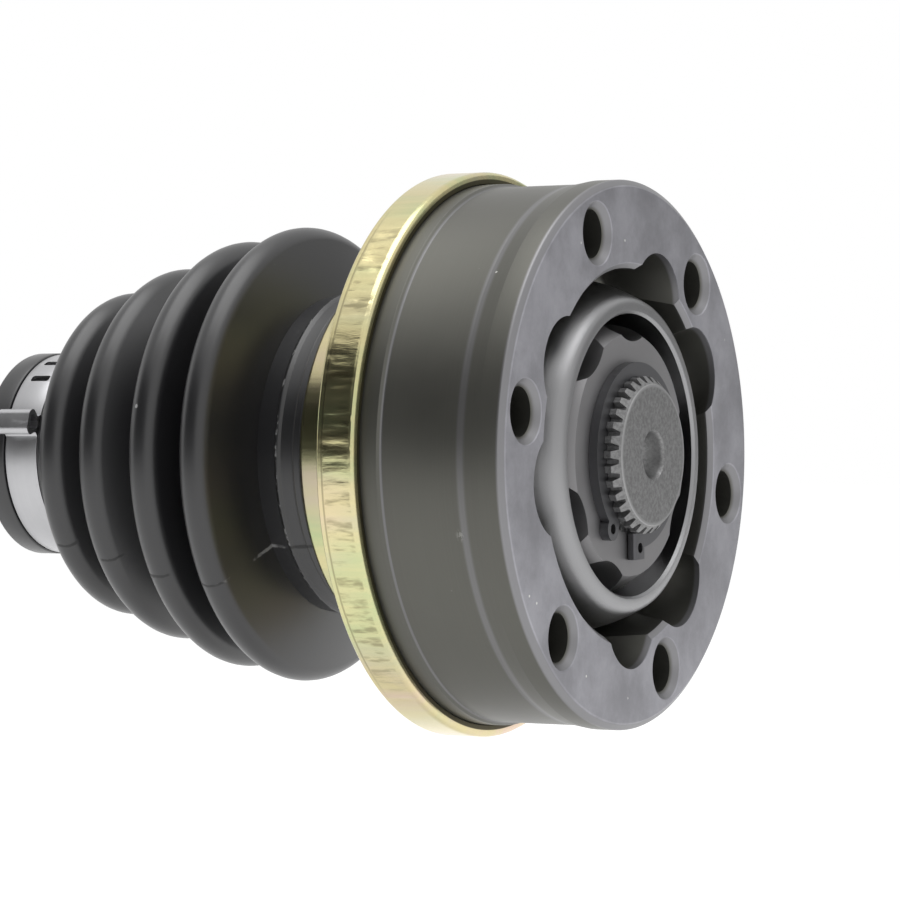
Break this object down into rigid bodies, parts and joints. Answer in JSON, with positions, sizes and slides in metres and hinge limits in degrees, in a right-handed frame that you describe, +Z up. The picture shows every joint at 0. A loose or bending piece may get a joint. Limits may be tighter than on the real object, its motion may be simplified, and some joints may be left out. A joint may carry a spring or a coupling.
{
  "type": "drive shaft",
  "caption": "Front half shaft with a plunging cross-groove joint, rubber boots, a bar and a fixed joint with a splined stub axle.",
  "frame": {"origin": "centre of the inboard ring's mounting face, on the shaft's centre line and in the plane of the bolt circle", "axes": "+X out of the inboard mounting face along the straight shaft, so the wheel end is at -X; +Z up in the picture; +Y towards the picture's near side turned by about thirty degrees"},
  "size_m": [0.5742, 0.1046, 0.1046],
  "materials": {
    "ring_steel": "dark phosphated and oiled, machined face",
    "race_steel": "matte hardened",
    "cage_steel": "satin ground",
    "ball_steel": "polished",
    "cap_zinc": "yellow passivated zinc plating",
    "spring_steel": "dark oiled",
    "bar_paint": "satin black",
    "boot_rubber": "satin black",
    "clamp_steel": "stainless strip",
    "bell_steel": "forged and machined, oiled",
    "ring_plastic": "natural nylon"
  },
  "bodies": {
    "inboard_joint": {"inboard_outer_race": "ring_steel", "inboard_flange_cap": "cap_zinc"},
    "boot_slide": {"inboard_boot": "boot_rubber"},
    "shaft": {"shaft_bar": "bar_paint", "inboard_inner_race": "race_steel", "inboard_circlip": "spring_steel", "inboard_dished_washer": "spring_steel", "inboard_boot_clamp": "clamp_steel", "outboard_inner_race": "race_steel", "outboard_circlip": "spring_steel", "outboard_thrust_ring": "ring_plastic", "outboard_dished_washer": "spring_steel", "outboard_boot_small_clamp": "clamp_steel", "outboard_boot": "boot_rubber", "outboard_ball_1": "ball_steel", "outboard_ball_4": "ball_steel"},
    "inboard_axis_balls": {"inboard_ball_1": "ball_steel", "inboard_ball_4": "ball_steel"},
    "inboard_cage": {"inboard_cage": "cage_steel"},
    "outboard_joint": {"outboard_bell": "bell_steel", "outboard_boot_large_clamp": "clamp_steel"},
    "outboard_cage": {"outboard_cage": "cage_steel"},
    "inboard_ball_2": {"inboard_ball_2": "ball_steel"},
    "outboard_ball_2": {"outboard_ball_2": "ball_steel"},
    "inboard_ball_3": {"inboard_ball_3": "ball_steel"},
    "outboard_ball_3": {"outboard_ball_3": "ball_steel"},
    "inboard_ball_5": {"inboard_ball_5": "ball_steel"},
    "outboard_ball_5": {"outboard_ball_5": "ball_steel"},
    "inboard_ball_6": {"inboard_ball_6": "ball_steel"},
    "outboard_ball_6": {"outboard_ball_6": "ball_steel"}
  },
  "joints": [
    {"name": "inboard_plunge", "type": "slide", "parent": "inboard_joint", "child": "boot_slide", "axis": [1, 0, 0], "range_m": [-0.005, 0.005], "deforming": ["inboard_boot"]},
    {"name": "inboard_bend", "type": "hinge", "parent": "boot_slide", "child": "shaft", "pos_m": [-0.0169, 0, 0], "axis": [0, 0.9397, 0.342], "range_deg": [-8, 8], "deforming": ["inboard_boot"]},
    {"name": "inboard_axis_balls_roll", "type": "slide", "parent": "inboard_joint", "child": "inboard_axis_balls", "axis": [0.9588, -0.0971, 0.2669], "range_m": [-0.0027, 0.0027]},
    {"name": "inboard_cage_bend", "type": "hinge", "parent": "inboard_axis_balls", "child": "inboard_cage", "pos_m": [-0.0169, 0, 0], "axis": [0, 0.9397, 0.342], "range_deg": [-4.1, 4.1]},
    {"name": "inboard_ball_2_roll", "type": "slide", "parent": "inboard_cage", "child": "inboard_ball_2", "axis": [0, 0.766, -0.6428], "range_m": [-0.0014, 0.0014]},
    {"name": "inboard_ball_3_roll", "type": "slide", "parent": "inboard_cage", "child": "inboard_ball_3", "axis": [0, -0.1736, -0.9848], "range_m": [-0.0014, 0.0014]},
    {"name": "inboard_ball_5_roll", "type": "slide", "parent": "inboard_cage", "child": "inboard_ball_5", "axis": [0, 0.766, -0.6428], "range_m": [-0.0014, 0.0014]},
    {"name": "inboard_ball_6_roll", "type": "slide", "parent": "inboard_cage", "child": "inboard_ball_6", "axis": [0, -0.1736, -0.9848], "range_m": [-0.0014, 0.0014]},
    {"name": "outboard_bend", "type": "hinge", "parent": "shaft", "child": "outboard_joint", "pos_m": [-0.46, 0, 0], "axis": [0, 0, 1], "range_deg": [-45, 45], "deforming": ["outboard_boot"]},
    {"name": "outboard_cage_bend", "type": "hinge", "parent": "shaft", "child": "outboard_cage", "pos_m": [-0.46, 0, 0], "axis": [0, 0, 1], "range_deg": [-22.6, 22.6]},
    {"name": "outboard_ball_2_roll", "type": "hinge", "parent": "shaft", "child": "outboard_ball_2", "pos_m": [-0.463, 0, 0], "axis": [0, 0.5, 0.866], "range_deg": [-20, 20]},
    {"name": "outboard_ball_3_roll", "type": "hinge", "parent": "shaft", "child": "outboard_ball_3", "pos_m": [-0.463, 0, 0], "axis": [0, -0.5, 0.866], "range_deg": [-20, 20]},
    {"name": "outboard_ball_5_roll", "type": "hinge", "parent": "shaft", "child": "outboard_ball_5", "pos_m": [-0.463, 0, 0], "axis": [0, -0.5, -0.866], "range_deg": [-20, 20]},
    {"name": "outboard_ball_6_roll", "type": "hinge", "parent": "shaft", "child": "outboard_ball_6", "pos_m": [-0.463, 0, 0], "axis": [0, 0.5, -0.866], "range_deg": [-20, 20]}
  ],
  "couplings": [
    {"joint": "inboard_axis_balls_roll", "follows": "inboard_plunge", "ratio": 0.52147},
    {"joint": "inboard_cage_bend", "follows": "inboard_bend", "ratio": 0.5},
    {"joint": "inboard_ball_2_roll", "follows": "inboard_plunge", "ratio": 0.25653},
    {"joint": "inboard_ball_3_roll", "follows": "inboard_plunge", "ratio": 0.25653},
    {"joint": "inboard_ball_5_roll", "follows": "inboard_plunge", "ratio": 0.25653},
    {"joint": "inboard_ball_6_roll", "follows": "inboard_plunge", "ratio": 0.25653},
    {"joint": "outboard_cage_bend", "follows": "outboard_bend", "ratio": 0.5},
    {"joint": "outboard_ball_2_roll", "follows": "outboard_bend", "ratio": 0.44167},
    {"joint": "outboard_ball_3_roll", "follows": "outboard_bend", "ratio": 0.44167},
    {"joint": "outboard_ball_5_roll", "follows": "outboard_bend", "ratio": -0.44167},
    {"joint": "outboard_ball_6_roll", "follows": "outboard_bend", "ratio": -0.44167}
  ]
}
